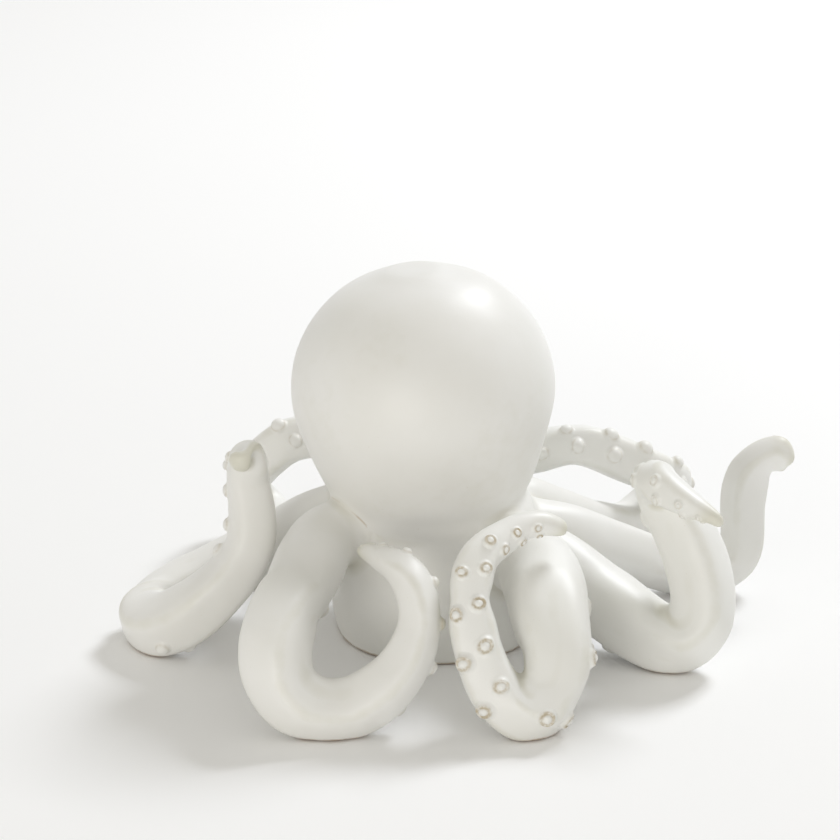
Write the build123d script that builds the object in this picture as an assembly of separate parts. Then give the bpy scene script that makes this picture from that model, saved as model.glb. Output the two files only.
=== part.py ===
from build123d import *
import math
import os

# An octopus figurine of glazed stoneware, built by hand from luted clay pieces.
# A hollow ball-like mantle stands on a hollow collar, the web body, and eight
# rolled arms are luted round the collar, each with its own pressed-on suckers.
# +X is to the right seen from the front, +Y to the back and +Z up. The origin is
# the middle of the collar's flat foot, on the surface that the figurine stands on.

# The driving size, in millimetres: the plan places of all arms are shares of it.
# What must keep together when it changes is a share of it too, or of a size that is.
ARM_REACH = 150.0

# Sizes of the arms
ARM_RISE = ARM_REACH * 0.667     # the clear height under an arm is a share of this
ARM_WIDTH = ARM_REACH * 0.227    # thickness of the thickest arm
ARM_SINK = ARM_WIDTH * 0.024     # how far a resting arm was pressed flat on the shelf

# Sizes of the web body
BODY_RADIUS = ARM_REACH * 0.287      # at the foot
BODY_HEIGHT = ARM_REACH * 0.42
BELLY_RADIUS = BODY_RADIUS * 1.09    # where the arms spring from it
BELLY_SHARE = 0.36                   # of the height, how high that is
COLLAR_RADIUS = BODY_RADIUS * 0.93   # at the seam with the mantle
BODY_WALL = 5.0
BODY_FLOOR = 6.0
FOOT_CHAMFER = 1.5
VENT_RADIUS = 3.0
VENT_OFFSET = 22.0

# Sizes of the mantle
NECK_RADIUS = COLLAR_RADIUS * 1.05
MANTLE_RADIUS = ARM_REACH * 0.402
MANTLE_BELLY = MANTLE_RADIUS * 0.937     # height of the widest place over the seam
MANTLE_CROWN = MANTLE_RADIUS * 0.939     # height of the crown over the widest place
MANTLE_WALL = 5.0
MANTLE_SHIFT = ARM_REACH * 0.01          # how far left of the collar the neck was luted
MANTLE_LEAN = 5.0                        # degrees, to the left
NECK_OVERRUN = MANTLE_RADIUS * 0.133     # neck below the seam, before it is trimmed level

# Sizes of the suckers
SUCKER_RADIUS = ARM_WIDTH * 0.1      # the largest one
SUCKER_WIDTH_SHARE = 0.29            # of the arm's thickness there
SUCKER_PITCH_SHARE = 0.78            # of the arm's thickness there
SUCKER_ROW_ANGLE = 25.0              # degrees each side of the middle of the sole
SUCKER_HEIGHT_SHARE = 0.42           # of the sucker's radius
SUCKER_BASE_SHARE = 0.8
SUCKER_DISH_SHARE = 0.3
STAGGER_SHARE = 0.12                 # of the pitch, how far the rows stand apart along the arm
FLOOR_CLEARANCE = 0.4
PRESS_START = SUCKER_RADIUS * 0.6    # how far off the arm a sucker is held before it is pressed on
LUTING_GAP = 0.05                    # the film of slip that is left under it

# How finely the arms are drawn
STEPS_PER_SPAN = 8
RING_PITCH = ARM_REACH * 0.08
CROWN_STEPS = 6

# Each arm is trimmed to fit the ones luted on before it
ARM_ORDER = ["front_left", "left", "back_left", "back", "back_right", "far_right", "right", "front_right"]

# Neck profile of the mantle: share of the swell from neck to belly, share of the height
NECK_SHARES = [(0.24, 0.16), (0.51, 0.37), (0.73, 0.58), (0.91, 0.77)]

# Stations of each arm from root to tip, all shares: x and y of the reach,
# clear height under the arm of the rise, thickness of the width.
ARM_SHARES = {
    "front_left": [
        (-0.080, -0.033, 0.370, 0.912), (-0.227, -0.107, 0.420, 0.912), (-0.340, -0.207, 0.410, 0.897),
        (-0.380, -0.360, 0.375, 0.960), (-0.417, -0.527, 0.355, 0.930), (-0.450, -0.667, 0.325, 0.900),
        (-0.467, -0.753, 0.225, 0.880), (-0.446, -0.793, 0.090, 0.850), (-0.380, -0.800, 0.010, 0.820),
        (-0.280, -0.797, 0.000, 0.779), (-0.160, -0.787, 0.100, 0.706), (-0.083, -0.757, 0.250, 0.603),
        (-0.053, -0.720, 0.390, 0.529), (-0.060, -0.677, 0.510, 0.515), (-0.097, -0.630, 0.595, 0.471),
        (-0.147, -0.573, 0.625, 0.382), (-0.193, -0.507, 0.630, 0.279), (-0.230, -0.453, 0.640, 0.147)],
    "front_right": [
        (0.073, -0.073, 0.340, 0.941), (0.190, -0.180, 0.350, 1.000), (0.273, -0.287, 0.340, 1.030),
        (0.313, -0.433, 0.315, 1.060), (0.327, -0.573, 0.270, 1.020), (0.350, -0.673, 0.175, 0.950),
        (0.333, -0.733, 0.065, 0.870), (0.285, -0.775, 0.000, 0.820), (0.213, -0.787, 0.010, 0.765),
        (0.150, -0.767, 0.130, 0.721), (0.107, -0.733, 0.310, 0.662), (0.093, -0.693, 0.460, 0.588),
        (0.113, -0.627, 0.620, 0.544), (0.167, -0.573, 0.695, 0.471), (0.227, -0.533, 0.740, 0.412),
        (0.287, -0.507, 0.765, 0.353), (0.333, -0.490, 0.765, 0.265), (0.373, -0.477, 0.760, 0.147)],
    "right": [
        (0.087, -0.027, 0.330, 0.941), (0.233, -0.073, 0.295, 0.971), (0.373, -0.127, 0.215, 0.985),
        (0.480, -0.187, 0.115, 0.985), (0.567, -0.240, 0.052, 0.971), (0.653, -0.293, 0.000, 0.897),
        (0.730, -0.333, 0.015, 0.853), (0.787, -0.347, 0.095, 0.838), (0.800, -0.333, 0.210, 0.824),
        (0.789, -0.307, 0.330, 0.824), (0.753, -0.273, 0.480, 0.794), (0.690, -0.247, 0.650, 0.706),
        (0.660, -0.253, 0.740, 0.632), (0.653, -0.300, 0.805, 0.574), (0.667, -0.357, 0.825, 0.529),
        (0.703, -0.407, 0.822, 0.456), (0.747, -0.447, 0.815, 0.368), (0.790, -0.485, 0.810, 0.265),
        (0.827, -0.520, 0.810, 0.147)],
    "far_right": [
        (0.113, 0.027, 0.330, 0.882), (0.267, 0.067, 0.310, 0.897), (0.400, 0.107, 0.250, 0.882),
        (0.527, 0.160, 0.170, 0.809), (0.647, 0.210, 0.095, 0.721), (0.747, 0.240, 0.040, 0.662),
        (0.840, 0.267, 0.000, 0.618), (0.920, 0.277, 0.025, 0.603), (0.963, 0.277, 0.105, 0.588),
        (0.977, 0.277, 0.210, 0.588), (0.973, 0.280, 0.320, 0.603), (0.980, 0.280, 0.440, 0.603),
        (1.000, 0.273, 0.550, 0.544), (1.033, 0.267, 0.620, 0.471), (1.073, 0.257, 0.660, 0.368),
        (1.113, 0.247, 0.660, 0.235)],
    "back_right": [
        (0.080, 0.080, 0.350, 0.912), (0.227, 0.200, 0.340, 0.897), (0.393, 0.340, 0.200, 0.838),
        (0.540, 0.527, 0.060, 0.765), (0.647, 0.667, 0.000, 0.706), (0.697, 0.727, 0.028, 0.676),
        (0.743, 0.753, 0.095, 0.647), (0.773, 0.723, 0.180, 0.632), (0.763, 0.670, 0.250, 0.647),
        (0.707, 0.630, 0.310, 0.662), (0.613, 0.610, 0.375, 0.691), (0.513, 0.600, 0.450, 0.662),
        (0.433, 0.590, 0.480, 0.618), (0.347, 0.587, 0.450, 0.618), (0.240, 0.580, 0.420, 0.529),
        (0.127, 0.567, 0.390, 0.382), (0.033, 0.547, 0.380, 0.206)],
    "back": [
        (0.000, 0.107, 0.350, 0.912), (0.013, 0.253, 0.330, 0.882), (0.033, 0.387, 0.200, 0.824),
        (0.047, 0.520, 0.060, 0.765), (0.040, 0.653, 0.000, 0.721), (0.013, 0.773, 0.000, 0.676),
        (-0.067, 0.840, 0.020, 0.632), (-0.173, 0.840, 0.110, 0.588), (-0.247, 0.767, 0.230, 0.515),
        (-0.233, 0.680, 0.330, 0.397), (-0.167, 0.640, 0.370, 0.235)],
    "back_left": [
        (-0.080, 0.080, 0.350, 0.912), (-0.213, 0.213, 0.340, 0.897), (-0.327, 0.353, 0.230, 0.838),
        (-0.420, 0.507, 0.085, 0.765), (-0.500, 0.627, 0.000, 0.706), (-0.550, 0.700, 0.025, 0.647),
        (-0.590, 0.747, 0.090, 0.603), (-0.617, 0.737, 0.190, 0.588), (-0.617, 0.680, 0.265, 0.603),
        (-0.593, 0.630, 0.330, 0.632), (-0.553, 0.603, 0.400, 0.647), (-0.487, 0.597, 0.480, 0.662),
        (-0.387, 0.600, 0.510, 0.632), (-0.293, 0.593, 0.495, 0.529), (-0.187, 0.573, 0.460, 0.382),
        (-0.100, 0.547, 0.430, 0.206)],
    "left": [
        (-0.093, 0.027, 0.360, 0.912), (-0.227, 0.067, 0.370, 0.912), (-0.347, 0.093, 0.340, 0.882),
        (-0.467, 0.093, 0.260, 0.824), (-0.587, 0.073, 0.180, 0.794), (-0.693, 0.053, 0.110, 0.765),
        (-0.793, 0.020, 0.050, 0.765), (-0.873, -0.047, 0.010, 0.765), (-0.893, -0.133, 0.000, 0.779),
        (-0.850, -0.207, 0.015, 0.794), (-0.767, -0.240, 0.080, 0.794), (-0.687, -0.247, 0.180, 0.765),
        (-0.620, -0.233, 0.290, 0.706), (-0.573, -0.207, 0.410, 0.662), (-0.560, -0.180, 0.550, 0.647),
        (-0.571, -0.160, 0.670, 0.588), (-0.573, -0.160, 0.770, 0.544), (-0.567, -0.177, 0.860, 0.456),
        (-0.573, -0.220, 0.915, 0.412), (-0.593, -0.263, 0.915, 0.309)],
}

# Where the sole of each arm faces: share of the arm's length, then a direction
SOLE_SHARES = {
    "front_left": [(0.3, 0.3, 0.3, -1.0), (0.55, 0.0, 0.75, -0.65), (0.7, 0.75, 0.6, -0.3),
                   (0.8, 0.8, 0.6, 0.1), (0.97, 0.2, 0.5, 0.9)],
    "front_right": [(0.31, 0.9, 0.2, -0.6), (0.48, 0.8, -0.6, -0.3), (0.57, 0.1, -0.95, -0.25),
                    (0.7, -0.1, -1.0, 0.0), (0.85, -0.1, -0.95, 0.1), (0.97, 0.2, -0.8, -0.5)],
    "right": [(0.26, 0.1, -0.3, -1.0), (0.48, 0.2, 0.6, -0.8), (0.62, -0.2, 1.0, 0.0),
              (0.8, -0.6, -0.45, 0.65), (0.97, -0.8, -0.3, -0.5)],
    "far_right": [(0.3, 0.0, 0.2, -1.0), (0.6, 0.3, 0.95, 0.0), (0.97, 0.0, 0.95, 0.3)],
    "back_right": [(0.28, 0.2, 0.2, -1.0), (0.45, 0.6, 0.2, -0.7), (0.56, 0.95, -0.2, 0.1),
                   (0.66, 0.4, -0.9, 0.75), (0.97, 0.0, -1.0, 0.8)],
    "back": [(0.3, 0.0, 0.1, -1.0), (0.6, 0.0, 1.0, -0.2), (0.97, -0.3, 0.9, 0.4)],
    "back_left": [(0.28, -0.2, 0.2, -1.0), (0.45, -0.6, 0.2, -0.7), (0.57, -0.95, -0.2, 0.1),
                  (0.67, -0.3, -0.95, 0.75), (0.97, 0.0, -1.0, 0.8)],
    "left": [(0.3, 0.0, 0.2, -1.0), (0.55, -0.3, -0.3, -1.0), (0.7, -0.8, 0.3, -0.5),
             (0.82, -0.85, 0.5, 0.0), (0.97, -0.7, 0.3, 0.6)],
}


def stations(name):
    """Centre points and radii of an arm at its stations, in millimetres."""
    points, radii = [], []
    for x_share, y_share, lift_share, width_share in ARM_SHARES[name]:
        radius = width_share * ARM_WIDTH / 2
        height = lift_share * ARM_RISE + radius - ARM_SINK
        points.append(Vector(x_share * ARM_REACH, y_share * ARM_REACH, height))
        radii.append(radius)
    return points, radii


def slopes(values, lengths):
    """How fast a value changes at each station, from the spans on both sides of it."""
    rates = [(after - before) / length for before, after, length in zip(values, values[1:], lengths)]
    middle = [(before * right + after * left) / (left + right)
              for before, after, left, right in zip(rates, rates[1:], lengths, lengths[1:])]
    return [rates[0] * 1.5 - middle[0] * 0.5] + middle + [rates[-1] * 1.5 - middle[-1] * 0.5]


def blend(values, rates, lengths, span, share):
    """A value part way along one span, on a smooth curve through the stations."""
    rise = share * share * (3 - 2 * share)
    leave = share * (1 - share) ** 2 * lengths[span]
    arrive = share * share * (share - 1) * lengths[span]
    return (values[span] * (1 - rise) + values[span + 1] * rise
            + rates[span] * leave + rates[span + 1] * arrive)


def arm_line(name):
    """Closely spaced centre points, radii and lengths from the root of an arm to its tip."""
    points, radii = stations(name)
    lengths = [(after - before).length for before, after in zip(points, points[1:])]
    point_slopes, radius_slopes = slopes(points, lengths), slopes(radii, lengths)
    line = [(points[0], radii[0], 0.0)]
    for span in range(len(lengths)):
        for step in range(1, STEPS_PER_SPAN + 1):
            share = step / STEPS_PER_SPAN
            point = blend(points, point_slopes, lengths, span, share)
            radius = blend(radii, radius_slopes, lengths, span, share)
            line.append((point, radius, line[-1][2] + (point - line[-1][0]).length))
    return line


def at_length(line, length):
    """Centre point, radius and heading of an arm at a length from its root."""
    step = next((k for k in range(1, len(line)) if line[k][2] >= length), len(line) - 1)
    before, after = line[step - 1], line[step]
    share = (length - before[2]) / (after[2] - before[2])
    run = after[0] - before[0]
    return before[0] + run * share, before[1] + (after[1] - before[1]) * share, run.normalized()


def whole_arm(name):
    """One rolled arm before it is trimmed: a loft through even rings, with a round tip."""
    line = arm_line(name)
    count = round(line[-1][2] / RING_PITCH)
    across = Vector(0, 0, 1)
    rings = []
    for ring in range(count + 1):
        point, radius, heading = at_length(line, line[-1][2] * ring / count)
        across = (across - heading * across.dot(heading)).normalized()
        frame = Plane(origin=point, x_dir=across, z_dir=heading)
        rings.append(Wire.make_circle(radius, frame))
    tip = frame * Sphere(radius, arc_size1=0)
    return Part() + Solid.make_loft(rings) + tip


def body_blank():
    """The outside of the collar, filled."""
    foot = BODY_RADIUS - FOOT_CHAMFER
    swell = (BELLY_RADIUS - BODY_RADIUS, BODY_HEIGHT * BELLY_SHARE / 2)
    wall = Spline((BODY_RADIUS, FOOT_CHAMFER), (BELLY_RADIUS, BODY_HEIGHT * BELLY_SHARE),
                  (COLLAR_RADIUS, BODY_HEIGHT), tangents=(swell, (0, 1)))
    base = Polyline((0, BODY_HEIGHT), (0, 0), (foot, 0), (BODY_RADIUS, FOOT_CHAMFER))
    top = Line((COLLAR_RADIUS, BODY_HEIGHT), (0, BODY_HEIGHT))
    return revolve(Plane.XZ * make_face(base + wall + top), Axis.Z)


def web_body(blank):
    """The collar that carries everything: thrown hollow, with a closed flat foot."""
    bore_height = BODY_HEIGHT - BODY_FLOOR
    bore = Cylinder(COLLAR_RADIUS - BODY_WALL, bore_height, align=(Align.CENTER, Align.CENTER, Align.MIN))
    vent = Cylinder(VENT_RADIUS, BODY_HEIGHT)
    return blank - Pos(0, 0, BODY_FLOOR) * bore - Pos(0, VENT_OFFSET, 0) * vent


def mantle_face(wall):
    """Half section of the mantle's outside, or of its inside where a wall is given."""
    swell = MANTLE_RADIUS - NECK_RADIUS
    neck = NECK_RADIUS - wall
    side = [(neck, 0)]
    side += [(neck + swell * out_share, MANTLE_BELLY * up_share) for out_share, up_share in NECK_SHARES]
    side += [(MANTLE_RADIUS - wall, MANTLE_BELLY)]
    flank = Spline(*side, tangents=((swell, MANTLE_BELLY), (0, 1)))
    rounds = [math.radians(90 * step / CROWN_STEPS) for step in range(CROWN_STEPS + 1)]
    over = [((MANTLE_RADIUS - wall) * math.cos(turn), MANTLE_BELLY + (MANTLE_CROWN - wall) * math.sin(turn))
            for turn in rounds]
    over[-1] = (0, over[-1][1])
    crown = Spline(*over, tangents=((0, 1), (-1, 0)))
    stem = (neck - NECK_OVERRUN * swell / MANTLE_BELLY, -NECK_OVERRUN)
    close = Polyline(over[-1], (0, -NECK_OVERRUN), stem, (neck, 0))
    return Plane.XZ * make_face(flank + crown + close)


def mantle_solid(wall):
    """The mantle's form, leaning to the left on the collar and trimmed level at the seam."""
    form = Rot(0, -MANTLE_LEAN, 0) * revolve(mantle_face(wall), Axis.Z)
    form = split(form, Plane.XY, keep=Keep.TOP)
    return Pos(-MANTLE_SHIFT, 0, BODY_HEIGHT) * form


def sucker(radius):
    """One pressed button with a raised rim and a dished middle, standing on Z = 0."""
    height = radius * SUCKER_HEIGHT_SHARE
    base = radius * SUCKER_BASE_SHARE
    section = Polyline((0, 0), (base, 0), (radius, height), (0, height * SUCKER_DISH_SHARE), close=True)
    return revolve(Plane.XZ * make_face(section), Axis.Z)


def sole_direction(name, share):
    """Where the sole of an arm faces, at a share of the arm's length."""
    rows = SOLE_SHARES[name]
    step = next((k for k in range(1, len(rows)) if rows[k][0] >= share), len(rows) - 1)
    before, after = rows[step - 1], rows[step]
    part = (share - before[0]) / (after[0] - before[0])
    return Vector(*before[1:]) * (1 - part) + Vector(*after[1:]) * part


def pressed_on(arm, frame, radius):
    """A sucker's frame after it is pressed down until its base meets the arm."""
    held = frame.offset(PRESS_START)
    base = Face(Wire.make_circle(radius * SUCKER_BASE_SHARE, held))
    return held.offset(LUTING_GAP - arm.distance_to(base))


def arm_suckers(name, arm):
    """The suckers of one arm: two rows along its sole, from the root to the tip."""
    line = arm_line(name)
    whole = line[-1][2]
    length, last = SOLE_SHARES[name][0][0] * whole, SOLE_SHARES[name][-1][0] * whole
    buttons = []
    while length < last:
        pitch = at_length(line, length)[1] * 2 * SUCKER_PITCH_SHARE
        for side in (-1, 1):
            point, arm_radius, heading = at_length(line, length + side * pitch * STAGGER_SHARE)
            sole = sole_direction(name, length / whole)
            sole = (sole - heading * sole.dot(heading)).normalized()
            outward = sole.rotate(Axis((0, 0, 0), heading), side * SUCKER_ROW_ANGLE)
            radius = min(SUCKER_RADIUS, arm_radius * SUCKER_WIDTH_SHARE)
            seat = Plane(origin=point + outward * arm_radius, x_dir=heading, z_dir=outward)
            lowest = seat.origin.Z - radius * (math.hypot(outward.X, outward.Y) - min(0, outward.Z))
            if lowest > FLOOR_CLEARANCE:
                buttons.append(pressed_on(arm, seat, radius) * sucker(radius))
        length += pitch
    return Compound(buttons)


body_form = body_blank()
mantle_form = mantle_solid(0)
parts = {"web_body": web_body(body_form), "mantle": mantle_form - mantle_solid(MANTLE_WALL)}

before = None
for name in ARM_ORDER:
    arm = split(whole_arm(name), Plane.XY, keep=Keep.TOP) - body_form - mantle_form
    if before:
        arm -= before
    parts["arm_" + name] = before = arm
    parts["suckers_" + name] = arm_suckers(name, arm)

os.makedirs("parts", exist_ok=True)
for name, part in parts.items():
    export_step(part, f"parts/{name}.step")
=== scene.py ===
import math

import bmesh
import bpy
import numpy as np
import openvdb
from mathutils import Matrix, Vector


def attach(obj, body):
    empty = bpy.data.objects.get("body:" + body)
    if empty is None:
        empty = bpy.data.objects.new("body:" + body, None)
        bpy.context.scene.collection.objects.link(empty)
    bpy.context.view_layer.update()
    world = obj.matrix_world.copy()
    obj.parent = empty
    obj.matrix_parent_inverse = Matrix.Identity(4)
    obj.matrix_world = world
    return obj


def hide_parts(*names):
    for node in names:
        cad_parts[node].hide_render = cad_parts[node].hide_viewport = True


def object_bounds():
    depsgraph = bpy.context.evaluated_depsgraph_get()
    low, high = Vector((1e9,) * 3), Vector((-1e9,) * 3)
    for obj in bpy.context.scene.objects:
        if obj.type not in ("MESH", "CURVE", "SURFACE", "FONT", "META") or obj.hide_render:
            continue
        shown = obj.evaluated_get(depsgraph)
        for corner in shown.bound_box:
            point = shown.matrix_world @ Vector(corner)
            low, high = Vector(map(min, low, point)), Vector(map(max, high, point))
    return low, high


# An octopus figurine of white-glazed stoneware. The packed clay pieces are joined under one
# soft skin of glaze, the skin is cut back into the pieces at their seams, and each pressed
# sucker gets its rim and its pearl. All sizes are in metres.

MM = 0.001
WHITE = (1, 1, 1, 1)
TINY = 1e-6                  # the least length that a way is divided by
UPRIGHT = 0.9                # a way that rises more than this is upright

# The grid on which the clay is worked
VOXEL = 1.25 * MM
BAND = 13 * MM               # how far from a surface its distance is known
MARGIN = 12 * MM             # round the CAD box
SHARPEST_BEND = 600          # in 1 / metre: what bends more is noise
BLUR_REACH = 3               # in spreads
SETTLING_STEPS, SEAT_STEPS = 3, 6     # that bring a point, or a sucker's seat, to the surface

# How softly the pieces are luted together
ROOT_BLEND = 11 * MM         # between an arm and the collar
NEIGHBOUR_BLEND = 5 * MM     # between two arms at the collar
TOUCH_BLEND = 0.5 * MM       # between two arms that only touch
CREASE_BLEND = 5 * MM        # round the mantle's seam
NEAR_COLLAR, OFF_COLLAR = 46 * MM, 66 * MM     # from the axis: between these, neighbours part
HULL_INSET = 3 * MM          # of the plug that fills a hollow piece
SMOOTHING = 1.3 * MM
SEAM_TOP = 50 * MM           # the collar shows only below this
SEAM_WIDTH = 2.4 * MM        # bare clay may show this near to a seam
SEAM_LIFT = CREASE_BLEND / 3           # a seam shows where the skin is this near to its pieces
SEAM_FADE = 4                # how fast it is lost above that
CUT_MARGIN_SHARE = 0.02      # of an edge: a cut stays this far from its ends

# The unevenness of handwork: wavelength, height, seed
LUMPS = [(34 * MM, 0.7 * MM, 5), (15 * MM, 0.38 * MM, 6), (8 * MM, 0.15 * MM, 7)]
MANTLE_LUMP_SHARE = 0.3      # the thrown mantle is more even than the rolled arms
LUMP_FADE = BAND / 2         # this far from the mantle the arms have all their unevenness

# Rolled arms were patted into a soft square, a superellipse of this power in section, and one
# of the ridges between its flats faces the way given for each arm.
SQUARE_POWER = 3.6
PATTED_BAND = 3.5 * MM       # each side of the surface
PATTED_FADE = 46 * MM        # this far outside OFF_COLLAR the patting has all its strength
THICKEST, THINNEST = 22 * MM, 2 * MM       # radii that an arm can have by the surface's bend
THICK_FADE = 3               # how fast the patting is lost towards THICKEST
ALONG_FADE = 2               # how fast it is lost where a ridge's way runs along the arm
ROUND_TIP, FIRST_FLAT = 4 * MM, 9 * MM     # radii between which a tip turns from round to patted
RIDGE_WAYS = {"front_left": (0.15, -1, 0.15), "front_right": (0.75, -0.7, 0.3), "right": (0.3, -1, 0.5),
              "far_right": (-0.35, -1, 0.2), "back_right": (0.6, -0.5, 0.9), "back": (0.7, 0.7, 0.5),
              "back_left": (-0.6, -0.5, 0.9), "left": (-0.5, -1, 0.4)}

# The vent hole in the collar's foot
VENT_RADIUS, VENT_OFFSET, VENT_DEPTH = 3 * MM, 22 * MM, 8 * MM

# Suckers, as shares of a sucker's radius: how far out, how high, and how much of the tan ring.
# Those on the right front arm and on the right arm have a sunken ring round the pearl.
RINGED_SHARES = [(1.8, -0.030, 0.0), (1.56, 0.040, 0.0), (1.36, 0.160, 0.0), (1.2, 0.330, 0.1),
                 (1.08, 0.490, 0.4), (0.98, 0.570, 0.75), (0.89, 0.590, 1.0), (0.8, 0.545, 1.0),
                 (0.71, 0.490, 1.0), (0.62, 0.490, 0.9), (0.53, 0.560, 0.35), (0.42, 0.660, 0.0),
                 (0.29, 0.735, 0.0), (0.14, 0.775, 0.0)]
PEARL_SHARES = [(1.65, -0.030, 0.0), (1.46, 0.020, 0.0), (1.3, 0.100, 0.05), (1.16, 0.220, 0.25),
                (1.05, 0.370, 0.6), (0.96, 0.500, 0.5), (0.86, 0.610, 0.2), (0.75, 0.700, 0.05),
                (0.63, 0.770, 0.0), (0.5, 0.830, 0.0), (0.38, 0.870, 0.0), (0.26, 0.895, 0.0),
                (0.15, 0.910, 0.0), (0.06, 0.915, 0.0)]
RINGED_ARMS = ["front_right", "right"]
SUCKER_ROWS, SUCKER_SIDES = len(RINGED_SHARES), 28
SUCKER_SIZE_SHARE = 0.9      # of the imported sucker's radius
SUCKER_ROOT_SHARE = 0.5      # how deep it is rooted in the arm
SUCKER_TOP_SHARE = 1.005     # the pearl's crown, over its last row
SUCKER_SCATTER_SHARE = 0.14  # how much suckers differ in height
SIZE_SCATTER_SHARE = SUCKER_SCATTER_SHARE / 2
SQUASH_SCATTER_SHARE = SUCKER_SCATTER_SHARE * 0.7     # in how oval they are
SUCKER_SEED = 7
WELD = 1e-3 * MM             # corners this near are one
TAN_SHARES = {"front_right": 1.0, "right": 0.3}   # how tan the rings of an arm are
OTHER_TAN_SHARE = 0.6
PALEST_RING_SHARE = 0.7      # of that, on the palest sucker

# The glaze: cream, and layers over it. A layer has a colour, its greatest share, and the two
# values between which it sets in: of a noise, of the bend, or of the height over the table.
CREAM = (0.845, 0.839, 0.806, 1)
CHALK_LAYER = ((0.872, 0.868, 0.846, 1), 1.0, 0.35, 0.7)        # in clouds
SEA_LAYER = ((0.808, 0.814, 0.768, 1), 0.55, 0.45, 0.75)        # in wide drifts
POOLED_GLAZE_AND_SHADE_LAYER = ((0.62, 0.60, 0.49, 1), 0.6, -0.04, -0.2)        # in creases: pooled glaze, darkened further with painted shade
THIN_LAYER = ((0.63, 0.61, 0.48, 1), 0.6, 0.22, 0.42)           # on tips and rims
SPECK_LAYER = ((0.55, 0.46, 0.34, 1), 0.35, 0.78, 0.84)
RING_LAYER = ((0.41, 0.32, 0.17, 1), 0.9, 0.25, 0.6)            # in the suckers' rings
SEAM_LAYER = ((0.48, 0.38, 0.26, 1), 0.6, 0.48, 0.62)           # bare clay at the seams
FOOT_LAYER = ((0.42, 0.31, 0.21, 1), 1.0, 3.0 * MM, 1.4 * MM)   # bare clay at the foot
SEAM_RANGE = (0.6, 0.95)     # of the nearness to a seam
NOISES = {"cloud": (28.0, 3.0), "drift": (9.0, 2.0), "thin": (160.0, 3.0), "speck": (900.0, 1.0),
          "ring": (420.0, 2.0), "seam": (55.0, 3.0), "foot": (220.0, 3.0), "swell": (70.0, 2.0),
          "grain": (520.0, 2.0), "sheen": (60.0, 3.0)}          # waves in a metre, and detail
THIN_NOISE, FOOT_NOISE = 0.1, 2.2 * MM     # how far noise shifts where these two set in
GRAIN_SHARE = 0.12           # of the swell's bumps
BUMP_STRENGTH, BUMP_HEIGHT = 0.25, 0.6 * MM
SHINIEST, DULLEST, GLAZE_IOR = 0.39, 0.49, 1.5

# The photograph's camera
CAMERA_TARGET = (-7.8 * MM, 0.0, 102.5 * MM)
CAMERA_DISTANCE = 1500 * MM
CAMERA_ELEVATION = math.radians(20)
CAMERA_FOCAL_SHARE = 3270 / 840      # focal length as a share of the frame's width
CAMERA_REACH = 50.0                  # as far as it sees
SENSOR_WIDTH = 36.0                  # millimetres, as the camera counts it

# The studio: a bright lamp behind on the right, a low fill on the left, and a pale room
FLOOR_SIZE = 6.0
FLOOR_DULL, FLOOR_WHITE = (0.93, 0.93, 0.93, 1), (0.95, 0.95, 0.95, 1)
FLOOR_WAVES, FLOOR_ROUGHNESS = 1.5, 0.8
FLOOR_LIFT = 0.02            # what the camera and reflections see added to the table top's own white
LAMP_TARGET = (0, 0, 60 * MM)
KEY_PLACE, KEY_SIZE, KEY_POWER = (1.25, 1.4, 2.1), 0.75, 43.0
KEY_COLOUR = (0.92, 0.945, 1.0)
FILL_PLACE, FILL_SIZE, FILL_POWER = (-0.65, -1.75, 0.25), 0.8, 9.0
FILL_COLOUR = (1.0, 0.97, 0.92)
WORLD_COLOUR, WORLD_STRENGTH = (1.0, 0.977, 0.91), 0.54

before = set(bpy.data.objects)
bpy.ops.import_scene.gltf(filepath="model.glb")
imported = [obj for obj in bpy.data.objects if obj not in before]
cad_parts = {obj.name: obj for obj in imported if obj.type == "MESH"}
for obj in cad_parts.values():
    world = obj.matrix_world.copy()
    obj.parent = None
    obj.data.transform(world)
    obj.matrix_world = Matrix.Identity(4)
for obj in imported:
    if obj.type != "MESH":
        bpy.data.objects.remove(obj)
cad_low, cad_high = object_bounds()
ARMS = sorted(name[4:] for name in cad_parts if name.startswith("arm_"))

INDEX_LOW = [math.floor((corner - MARGIN) / VOXEL) for corner in cad_low]
SHAPE = [math.ceil((corner + MARGIN) / VOXEL) - index for corner, index in zip(cad_high, INDEX_LOW)]


def unit(ways):
    """Ways brought to length one."""
    return ways / np.maximum(np.linalg.norm(ways, axis=-1, keepdims=True), TINY)


def new_object(name, data):
    """An object in the scene."""
    thing = bpy.data.objects.new(name, data)
    bpy.context.scene.collection.objects.link(thing)
    return thing


# The clay as fields of distance to its surface

def along(axis, values):
    """Values along one axis of the grid, shaped to spread over the other two."""
    return values.astype(np.float32).reshape([-1 if k == axis else 1 for k in range(3)])


def grid_places(axis):
    """Coordinates of the grid's nodes along one axis."""
    return along(axis, (np.arange(SHAPE[axis]) + INDEX_LOW[axis]) * VOXEL)


def mesh_arrays(mesh):
    """Corner points and triangles of a mesh."""
    points = np.empty(len(mesh.vertices) * 3, np.float32)
    mesh.vertices.foreach_get("co", points)
    mesh.calc_loop_triangles()
    triangles = np.empty(len(mesh.loop_triangles) * 3, np.uint32)
    mesh.loop_triangles.foreach_get("vertices", triangles)
    return points.reshape(-1, 3), triangles.reshape(-1, 3)


def distance_field(mesh):
    """Signed distance to a closed mesh on the grid, out to BAND on both sides."""
    points, triangles = mesh_arrays(mesh)
    spacing = openvdb.createLinearTransform(VOXEL)
    grid = openvdb.FloatGrid.createLevelSetFromPolygons(
        points, triangles=triangles, transform=spacing, halfWidth=BAND / VOXEL)
    field = np.empty(SHAPE, np.float32)
    grid.copyToArray(field, ijk=INDEX_LOW)
    return field


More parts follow.
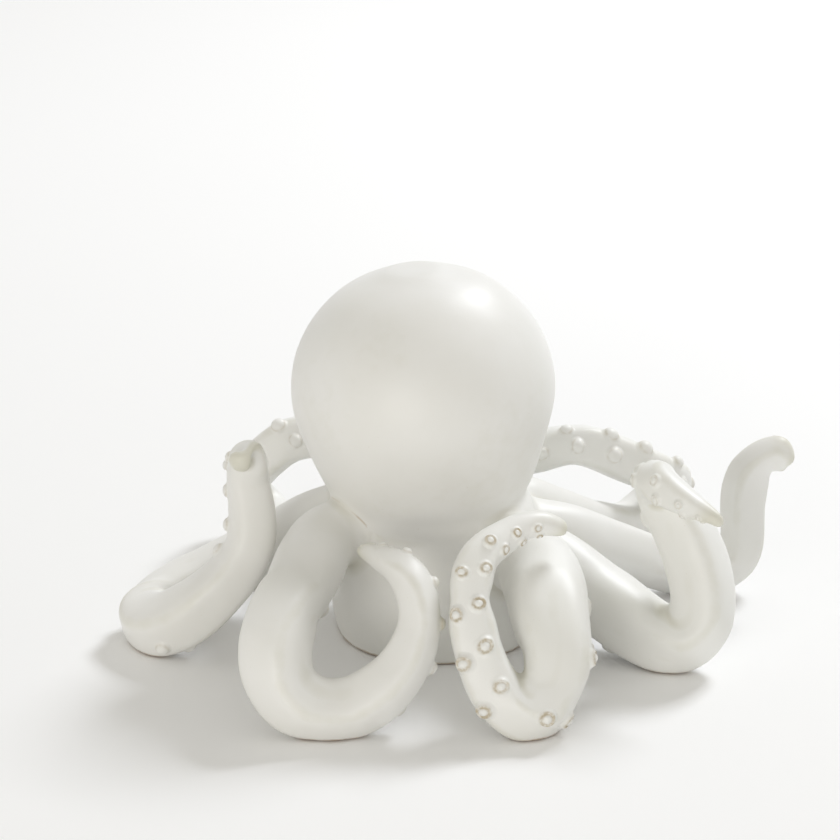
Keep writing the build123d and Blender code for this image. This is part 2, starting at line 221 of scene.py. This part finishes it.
def filled_field(name):
    """Signed distance to a hollow node with its hollow filled."""
    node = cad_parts[name].data
    form = bmesh.new()
    form.from_mesh(node)
    hull = bmesh.ops.convex_hull(form, input=form.verts)
    bmesh.ops.delete(form, geom=hull["geom_interior"] + hull["geom_unused"], context="VERTS")
    mesh = bpy.data.meshes.new("hull")
    form.to_mesh(mesh)
    form.free()
    core = distance_field(mesh) + HULL_INSET
    bpy.data.meshes.remove(mesh)
    return np.minimum(distance_field(node), core)


def soft_min(first, second, width):
    """The nearer of two forms, with a fillet where they meet."""
    share = np.clip(0.5 + 0.5 * (second - first) / width, 0, 1)
    return second + (first - second) * share - width * share * (1 - share)


def blurred(field, spread):
    """A field after a Gaussian blur, axis by axis."""
    reach = math.ceil(BLUR_REACH * spread / VOXEL)
    weights = np.exp(-0.5 * (np.arange(-reach, reach + 1) * VOXEL / spread) ** 2)
    weights /= weights.sum()
    for axis in range(3):
        field = sum(np.float32(weight) * np.roll(field, shift, axis)
                    for shift, weight in zip(range(-reach, reach + 1), weights))
    return field


def smoothed(field, spread):
    """A field with its small facets gone and its curves kept: one blur, then its loss put back."""
    once = blurred(field, spread)
    return once + blurred(field - once, spread)


def lumps(wavelength, height, seed):
    """A slow random swell over the whole grid."""
    draw = np.random.default_rng(seed)
    counts = [math.ceil(size * VOXEL / wavelength) + 2 for size in SHAPE]
    swell = draw.uniform(-1, 1, counts).astype(np.float32)
    for axis in range(3):
        place = np.arange(SHAPE[axis]) * VOXEL / wavelength
        base = place.astype(int)
        part = place - base
        part = along(axis, part * part * (3 - 2 * part))
        swell = np.take(swell, base, axis) * (1 - part) + np.take(swell, base + 1, axis) * part
    return swell * height


def sample(field, points):
    """A field's values at points, by linear steps between the grid's nodes."""
    place = points / VOXEL - INDEX_LOW
    base = np.clip(np.floor(place).astype(int), 0, np.array(SHAPE) - 2)
    part = (place - base).astype(np.float32)
    value = 0
    for corner in np.ndindex(2, 2, 2):
        weight = np.prod(np.where(corner, part, 1 - part), axis=1)
        value = value + weight * field[tuple((base + corner).T)]
    return value


def patted(clay, fields, from_axis):
    """The clay with its arms patted into soft squares, told by how the surface curves."""
    slopes = np.gradient(clay, VOXEL)
    near = np.abs(clay) < PATTED_BAND
    curves = np.empty((near.sum(), 3, 3), np.float32)
    for row in range(3):
        for column, bend in enumerate(np.gradient(slopes[row], VOXEL)):
            curves[:, row, column] = bend[near]
    normal = unit(np.stack([slope[near] for slope in slopes], -1))
    steepest, ways = np.linalg.eigh((curves + curves.transpose(0, 2, 1)) / 2)
    radius = 1 / np.clip(steepest[:, 2], 1 / THICKEST, 1 / THINNEST)
    heading = np.cross(normal, ways[:, :, 2])
    nearest = np.argmin([fields["arm_" + name][near] for name in ARMS], axis=0)
    ridge = np.array([RIDGE_WAYS[name] for name in ARMS])[nearest]
    ridge = ridge - heading * (ridge * heading).sum(1)[:, None]
    length = np.linalg.norm(ridge, axis=1)
    facing = (normal * ridge).sum(1) / np.maximum(length, TINY)
    aside = np.sqrt(np.clip(1 - facing ** 2, 0, 1))
    sides = np.abs(facing + aside) ** SQUARE_POWER + np.abs(facing - aside) ** SQUARE_POWER
    square = math.sqrt(2) ** (0.5 + 1 / SQUARE_POWER) / sides ** (1 / SQUARE_POWER) - 1
    strength = np.clip(length * ALONG_FADE, 0, 1) * np.clip((THICKEST / radius - 1) * THICK_FADE, 0, 1)
    strength *= np.clip((radius - ROUND_TIP) / (FIRST_FLAT - ROUND_TIP), 0, 1)
    off_collar = np.clip((from_axis - OFF_COLLAR) / PATTED_FADE, 0, 1)
    off_collar = np.broadcast_to(off_collar, clay.shape)[near]
    swell = np.zeros(clay.shape, np.float32)
    swell[near] = radius * square * strength * off_collar
    return clay - blurred(swell, SMOOTHING)


def clay_fields():
    """The distance field of each piece, and of all of them luted together."""
    x, y, z = (grid_places(axis) for axis in range(3))
    from_axis = np.hypot(x, y)
    fields = {"web_body": filled_field("web_body"), "mantle": filled_field("mantle")}
    part = np.clip((from_axis - NEAR_COLLAR) / (OFF_COLLAR - NEAR_COLLAR), 0, 1)
    beside = (NEIGHBOUR_BLEND + (TOUCH_BLEND - NEIGHBOUR_BLEND) * part).astype(np.float32)
    clay = fields["web_body"]
    for name in ARMS:
        arm = fields["arm_" + name] = distance_field(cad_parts["arm_" + name].data)
        rooted = soft_min(arm, fields["web_body"], ROOT_BLEND)
        clay = soft_min(clay, rooted, beside)
    clay = soft_min(clay, fields["mantle"], CREASE_BLEND)
    clay = smoothed(clay, SMOOTHING)
    clay = patted(clay, fields, from_axis)
    uneven = np.clip(fields["mantle"] / LUMP_FADE, MANTLE_LUMP_SHARE, 1)
    for lump in LUMPS:
        clay += lumps(*lump) * uneven
    clay = np.maximum(clay, -z)
    vent = np.maximum(np.hypot(x, y - VENT_OFFSET) - VENT_RADIUS, z - VENT_DEPTH)
    return fields, np.maximum(clay, -vent)


fields, clay = clay_fields()
slopes = [grad.astype(np.float32) for grad in np.gradient(clay, VOXEL)]
bends = sum(np.gradient(slope, VOXEL, axis=axis) for axis, slope in enumerate(slopes))
bends = blurred(np.clip(bends, -SHARPEST_BEND, SHARPEST_BEND), SMOOTHING)


def outward(points):
    """Unit normals of the clay at points."""
    return unit(np.stack([sample(slope, points) for slope in slopes], -1))


def settled(points, steps=SETTLING_STEPS):
    """Points moved onto the clay's surface."""
    for _ in range(steps):
        points = points - outward(points) * sample(clay, points)[:, None]
    return points


# The skin of glaze, cut into pieces at their seams

def skin_mesh():
    """Corner points and triangles of the clay's outside."""
    grid = openvdb.FloatGrid(BAND)
    grid.transform = openvdb.createLinearTransform(VOXEL)
    grid.copyFromArray(clay, ijk=INDEX_LOW)
    points, quads = grid.convertToQuads(isovalue=0)
    points = settled(points.astype(float))
    quads = quads.astype(int)
    ends = points[quads]
    first = np.linalg.norm(ends[:, 0] - ends[:, 2], axis=1)
    second = np.linalg.norm(ends[:, 1] - ends[:, 3], axis=1)
    along_first = quads[:, [[0, 1, 2], [0, 2, 3]]]
    along_second = quads[:, [[0, 1, 3], [1, 2, 3]]]
    triangles = np.where((first < second)[:, None, None], along_first, along_second)
    return points, triangles.reshape(-1, 3)


def piece_distances(points, names):
    """How far each point is from each piece, with the collar kept to its own height."""
    reach = np.stack([sample(fields[name], points) for name in names], -1)
    reach[:, names.index("web_body")] += np.where(points[:, 2] > SEAM_TOP, BAND, 0)
    return reach


def cut_skin(points, triangles, names):
    """The skin's points and its faces by piece, cut where two pieces are equally near."""
    reach = piece_distances(points, names)
    owner = reach.argmin(1)
    owners = owner[triangles]
    whole = (owners[:, 0] == owners[:, 1]) & (owners[:, 1] == owners[:, 2])
    faces = [triangles[whole & (owners[:, 0] == k)].tolist() for k in range(len(names))]
    extra, made = [], {}

    def crossing(a, b):
        """The new point on the edge from a to b where its two owners are equally near."""
        key = (min(a, b), max(a, b))
        if key not in made:
            a, b = key
            pair = [owner[a], owner[b]]
            before = reach[a, pair[0]] - reach[a, pair[1]]
            after = reach[b, pair[0]] - reach[b, pair[1]]
            share = min(max(before / (before - after), CUT_MARGIN_SHARE), 1 - CUT_MARGIN_SHARE)
            made[key] = len(points) + len(extra)
            extra.append(points[a] * (1 - share) + points[b] * share)
        return made[key]

    for a, b, c in triangles[~whole].tolist():
        kinds = [owner[a], owner[b], owner[c]]
        turned = [(a, b, c), (b, c, a), (c, a, b)]
        if len(set(kinds)) == 3:
            middle = len(points) + len(extra)
            extra.append((points[a] + points[b] + points[c]) / 3)
            for corner, after, before in turned:
                near, far = crossing(corner, after), crossing(before, corner)
                faces[owner[corner]] += [[corner, near, middle], [corner, middle, far]]
            continue
        lone = next(k for k in range(3) if kinds.count(kinds[k]) == 1)
        corner, after, before = turned[lone]
        near, far = crossing(corner, after), crossing(before, corner)
        faces[owner[corner]].append([corner, near, far])
        faces[owner[after]] += [[near, after, before], [near, before, far]]
    fresh = settled(np.array(extra)) if extra else np.empty((0, 3))
    return np.vstack([points, fresh]), faces


def attribute(mesh, name, values):
    """Stores one number for each point of a mesh, for its material to read."""
    layer = mesh.attributes.new(name, "FLOAT", "POINT")
    layer.data.foreach_set("value", np.asarray(values, np.float32))


def seam_gaps(points, names):
    """How much farther each point is from the next piece than from its own, the collar left out."""
    reach = piece_distances(points, names)
    collar = names.index("web_body")
    on_collar = reach.argmin(1) == collar
    reach[:, collar] = BAND
    reach.sort(axis=1)
    off_both = np.clip(reach[:, 0] - SEAM_LIFT, 0, BAND)
    return np.where(on_collar, BAND, reach[:, 1] - reach[:, 0] + SEAM_FADE * off_both)


def closed_piece(name, points, gaps, faces):
    """A piece of the skin as an object, closed inside the figurine where it was cut."""
    used, flat = np.unique(np.array(faces).ravel(), return_inverse=True)
    corners = points[used]
    mesh = bpy.data.meshes.new(name)
    mesh.from_pydata(corners.tolist(), [], flat.reshape(-1, 3).tolist())
    form = bmesh.new()
    form.from_mesh(mesh)
    rim = [edge for edge in form.edges if edge.is_boundary]
    caps = bmesh.ops.holes_fill(form, edges=rim, sides=0)["faces"]
    bmesh.ops.triangulate(form, faces=caps)
    form.to_mesh(mesh)
    form.free()
    mesh.shade_smooth()
    normals = outward(corners)
    loops = np.empty(len(mesh.loops), int)
    mesh.loops.foreach_get("vertex_index", loops)
    shown = normals[loops]
    skin_loops = 3 * len(faces)
    cap_normals = np.array([face.normal for face in mesh.polygons[len(faces):]]).reshape(-1, 3)
    shown[skin_loops:] = np.repeat(cap_normals, 3, axis=0)
    mesh.normals_split_custom_set(shown.tolist())
    attribute(mesh, "bend", sample(bends, corners) * MM)
    attribute(mesh, "seam", 1 - np.clip(gaps[used] / SEAM_WIDTH, 0, 1))
    return new_object(name, mesh)


# The suckers

def sucker_seats(name):
    """Centre and radius of each sucker of an arm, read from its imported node."""
    form = bmesh.new()
    form.from_mesh(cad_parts["suckers_" + name].data)
    bmesh.ops.remove_doubles(form, verts=form.verts, dist=WELD)
    seats, seen = [], set()
    for start in form.verts:
        if start in seen:
            continue
        group, queue = [], [start]
        seen.add(start)
        while queue:
            vert = queue.pop()
            group.append(vert.co)
            for edge in vert.link_edges:
                other = edge.other_vert(vert)
                if other not in seen:
                    seen.add(other)
                    queue.append(other)
        cloud = np.array(group)
        centre = (cloud.min(0) + cloud.max(0)) / 2
        seats.append((centre, np.linalg.norm(cloud - centre, axis=1).max()))
    form.free()
    return seats


def sucker_points(centre, radius, profile, draw):
    """Rings of one sucker draped over the clay, from its soft skirt to its pearl."""
    seat = settled(centre[None], SEAT_STEPS)[0]
    normal = outward(seat[None])[0]
    side = unit(np.cross(normal, [0, 0, 1] if abs(normal[2]) < UPRIGHT else [1, 0, 0]))
    other = np.cross(normal, side)
    radius *= SUCKER_SIZE_SHARE * (1 + draw.uniform(-1, 1) * SIZE_SCATTER_SHARE)
    tall = 1 + draw.uniform(-1, 1) * SUCKER_SCATTER_SHARE
    squash = draw.uniform(-1, 1) * SQUASH_SCATTER_SHARE
    lean = draw.uniform(0, 2 * math.pi)
    turns = np.arange(SUCKER_SIDES) * 2 * math.pi / SUCKER_SIDES
    wobble = 1 + squash * np.cos(2 * (turns - lean))
    away = np.cos(turns)[:, None] * side + np.sin(turns)[:, None] * other
    shares = np.array(profile)
    steep = np.gradient(shares[:, 1], shares[:, 0])
    points, normals, rings = [], [], []
    for (out, high, ring), slope in zip(profile, steep):
        ground = settled(seat + away * (out * radius * wobble)[:, None])
        up = outward(ground)
        points.append(ground + up * high * radius * tall)
        normals.append(unit(up - away * slope * tall))
        rings.append(np.full(SUCKER_SIDES, ring))
    crown = seat + normal * profile[-1][1] * radius * tall * SUCKER_TOP_SHARE
    root = seat - normal * SUCKER_ROOT_SHARE * radius
    for point, facing in ((crown, normal), (root, -normal)):
        points.append(point[None])
        normals.append(facing[None])
        rings.append(np.zeros(1))
    return np.vstack(points), np.vstack(normals), np.concatenate(rings)


def sucker_faces():
    """Faces of one sucker: bands between its rings, a fan over the pearl and one below."""
    faces = []
    for row in range(SUCKER_ROWS - 1):
        for k in range(SUCKER_SIDES):
            after = (k + 1) % SUCKER_SIDES
            low, high = row * SUCKER_SIDES, (row + 1) * SUCKER_SIDES
            faces.append([low + k, low + after, high + after, high + k])
    last_row = (SUCKER_ROWS - 1) * SUCKER_SIDES
    pearl, root = SUCKER_ROWS * SUCKER_SIDES, SUCKER_ROWS * SUCKER_SIDES + 1
    for k in range(SUCKER_SIDES):
        after = (k + 1) % SUCKER_SIDES
        faces.append([last_row + k, last_row + after, pearl])
        faces.append([after, k, root])
    return faces


def sucker_piece(name):
    """All suckers of one arm, as one object."""
    draw = np.random.default_rng(len(name) * SUCKER_SEED + ARMS.index(name))
    profile = RINGED_SHARES if name in RINGED_ARMS else PEARL_SHARES
    tan = TAN_SHARES.get(name, OTHER_TAN_SHARE)
    template = sucker_faces()
    points, normals, rings, faces = [], [], [], []
    for centre, radius in sucker_seats(name):
        corner, facing, ring = sucker_points(centre, radius, profile, draw)
        start = sum(map(len, points))
        faces += [[start + k for k in face] for face in template]
        points.append(corner)
        normals.append(facing)
        rings.append(ring * tan * draw.uniform(PALEST_RING_SHARE, 1))
    mesh = bpy.data.meshes.new("suckers_" + name)
    mesh.from_pydata(np.vstack(points).tolist(), [], faces)
    mesh.shade_smooth()
    mesh.normals_split_custom_set_from_vertices(np.vstack(normals).tolist())
    attribute(mesh, "ring", np.concatenate(rings))
    attribute(mesh, "bend", sample(bends, np.vstack(points)) * MM)
    return new_object("glazed_suckers_" + name, mesh)


# The materials

def node_adder(tree):
    """Empties a node tree and returns a helper that adds nodes to it."""
    tree.nodes.clear()

    def add(kind, **inputs):
        """Adds a node. A keyword is its property or its input's name, or _ and the input's number."""
        node = tree.nodes.new(kind)
        for key, value in inputs.items():
            if hasattr(node, key) and key not in node.inputs:
                setattr(node, key, value)
                continue
            socket = node.inputs[int(key[1:])] if key[0] == "_" else node.inputs[key.replace("_", " ")]
            if isinstance(value, bpy.types.NodeSocket):
                tree.links.new(value, socket)
            else:
                socket.default_value = value
        return node
    return add


def new_material(name):
    """An empty node material and a helper that adds nodes to it."""
    material = bpy.data.materials.new(name)
    material.use_nodes = True
    return material, node_adder(material.node_tree)


def glaze_material():
    """White satin glaze over tan stoneware, thin at rims, tips and feet, pooled in the creases and
    darkened there with painted shade.
    """
    material, add = new_material("satin_white_glaze")
    place = add("ShaderNodeTexCoord").outputs["Object"]
    height = add("ShaderNodeSeparateXYZ", Vector=place).outputs["Z"]
    bend, ring, seam = [add("ShaderNodeAttribute", attribute_name=name).outputs["Fac"]
                        for name in ("bend", "ring", "seam")]

    def noise(name):
        scale, detail = NOISES[name]
        return add("ShaderNodeTexNoise", Vector=place, Scale=scale, Detail=detail).outputs["Fac"]

    def plus(first, second):
        return add("ShaderNodeMath", operation="ADD", _0=first, _1=second).outputs[0]

    def times(first, second):
        return add("ShaderNodeMath", operation="MULTIPLY", _0=first, _1=second).outputs[0]

    def ramp(value, begin, full):
        return add("ShaderNodeMapRange", Value=value, From_Min=begin, From_Max=full).outputs["Result"]

    def layer(below, value, colour, share, begin, full, within=1.0):
        """The colour below with one more laid over it, where a value passes from begin to full."""
        cover = times(times(ramp(value, begin, full), within), share)
        return add("ShaderNodeMix", data_type="RGBA", _0=cover, _6=below, _7=colour).outputs[2]

    colour = layer(CREAM, noise("cloud"), *CHALK_LAYER)
    colour = layer(colour, noise("drift"), *SEA_LAYER)
    # Pooled glaze with painted shade: darker olive where the surface bends inward, in the creases.
    colour = layer(colour, bend, *POOLED_GLAZE_AND_SHADE_LAYER)
    colour = layer(colour, plus(bend, times(noise("thin"), THIN_NOISE)), *THIN_LAYER)
    colour = layer(colour, noise("speck"), *SPECK_LAYER)
    colour = layer(colour, noise("ring"), *RING_LAYER, within=ring)
    colour = layer(colour, noise("seam"), *SEAM_LAYER, within=ramp(seam, *SEAM_RANGE))
    colour = layer(colour, plus(height, times(noise("foot"), FOOT_NOISE)), *FOOT_LAYER)

    bumps = plus(noise("swell"), times(noise("grain"), GRAIN_SHARE))
    bump = add("ShaderNodeBump", Strength=BUMP_STRENGTH, Distance=BUMP_HEIGHT, Height=bumps)
    rough = add("ShaderNodeMapRange", Value=noise("sheen"), To_Min=SHINIEST, To_Max=DULLEST)
    shader = add("ShaderNodeBsdfPrincipled", Base_Color=colour, Roughness=rough.outputs["Result"],
                 Normal=bump.outputs["Normal"], IOR=GLAZE_IOR)
    add("ShaderNodeOutputMaterial", Surface=shader.outputs[0])
    return material


def directly_seen(add):
    """One for the rays that show a surface itself, straight from the camera or by a reflection."""
    rays = add("ShaderNodeLightPath").outputs
    seen = rays["Is Camera Ray"]
    for kind in ("Is Glossy Ray", "Is Transmission Ray"):
        seen = add("ShaderNodeMath", operation="MAXIMUM", _0=seen, _1=rays[kind]).outputs[0]
    return seen


def floor_material():
    """A plain white table top that keeps the figurine's shadow."""
    material, add = new_material("white_table")
    place = add("ShaderNodeTexCoord").outputs["Object"]
    grain = add("ShaderNodeTexNoise", Vector=place, Scale=FLOOR_WAVES).outputs["Fac"]
    colour = add("ShaderNodeMix", data_type="RGBA", _0=grain, _6=FLOOR_DULL, _7=FLOOR_WHITE)
    lift = add("ShaderNodeMath", operation="MULTIPLY", _0=directly_seen(add), _1=FLOOR_LIFT)
    surface = add("ShaderNodeBsdfPrincipled", Base_Color=colour.outputs[2], Roughness=FLOOR_ROUGHNESS,
                  Emission_Color=WHITE, Emission_Strength=lift.outputs[0])
    add("ShaderNodeOutputMaterial", Surface=surface.outputs[0])
    return material


# The studio

def look_at(thing, target):
    """Turns a camera or a lamp to face a point."""
    way = Vector(target) - thing.location
    thing.rotation_euler = way.to_track_quat("-Z", "Y").to_euler()


def camera():
    """The photograph's camera."""
    lens = bpy.data.cameras.new("camera")
    lens.sensor_width = SENSOR_WIDTH
    lens.lens = SENSOR_WIDTH * CAMERA_FOCAL_SHARE
    lens.clip_end = CAMERA_REACH
    thing = new_object("camera", lens)
    back = Vector((0, -math.cos(CAMERA_ELEVATION), math.sin(CAMERA_ELEVATION)))
    thing.location = Vector(CAMERA_TARGET) + back * CAMERA_DISTANCE
    look_at(thing, CAMERA_TARGET)
    bpy.context.scene.camera = thing


def lamp(name, place, size, power, colour):
    """A soft square lamp that faces the figurine."""
    light = bpy.data.lights.new(name, "AREA")
    light.size = size
    light.energy = power
    light.color = colour
    thing = new_object(name, light)
    thing.location = place
    look_at(thing, LAMP_TARGET)


def room():
    """The pale room round the figurine, which is seen as plain white."""
    world = bpy.data.worlds.new("studio")
    bpy.context.scene.world = world
    world.use_nodes = True
    add = node_adder(world.node_tree)
    around = add("ShaderNodeBackground", Color=(*WORLD_COLOUR, 1), Strength=WORLD_STRENGTH)
    white = add("ShaderNodeBackground", Color=WHITE)
    shown = add("ShaderNodeMixShader", _0=directly_seen(add), _1=around.outputs[0], _2=white.outputs[0])
    add("ShaderNodeOutputWorld", Surface=shown.outputs[0])


def studio():
    """Table top, lamps and room."""
    bpy.ops.mesh.primitive_plane_add(size=FLOOR_SIZE)
    floor = bpy.context.object
    floor.name = "table"
    floor.data.materials.append(floor_material())
    lamp("key", KEY_PLACE, KEY_SIZE, KEY_POWER, KEY_COLOUR)
    lamp("fill", FILL_PLACE, FILL_SIZE, FILL_POWER, FILL_COLOUR)
    room()


def dress():
    """Puts the glazed pieces in place of the plain ones."""
    glaze = glaze_material()
    names = ["web_body", "mantle"] + ["arm_" + name for name in ARMS]
    points, faces = cut_skin(*skin_mesh(), names)
    gaps = seam_gaps(points, names)
    for name, own_faces in zip(names, faces):
        piece = closed_piece("glazed_" + name, points, gaps, own_faces)
        piece.data.materials.append(glaze)
        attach(piece, "root")
        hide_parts(name)
    for name in ARMS:
        piece = sucker_piece(name)
        piece.data.materials.append(glaze)
        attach(piece, "root")
        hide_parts("suckers_" + name)


camera()
studio()
dress()
bpy.context.scene.view_settings.view_transform = "Standard"
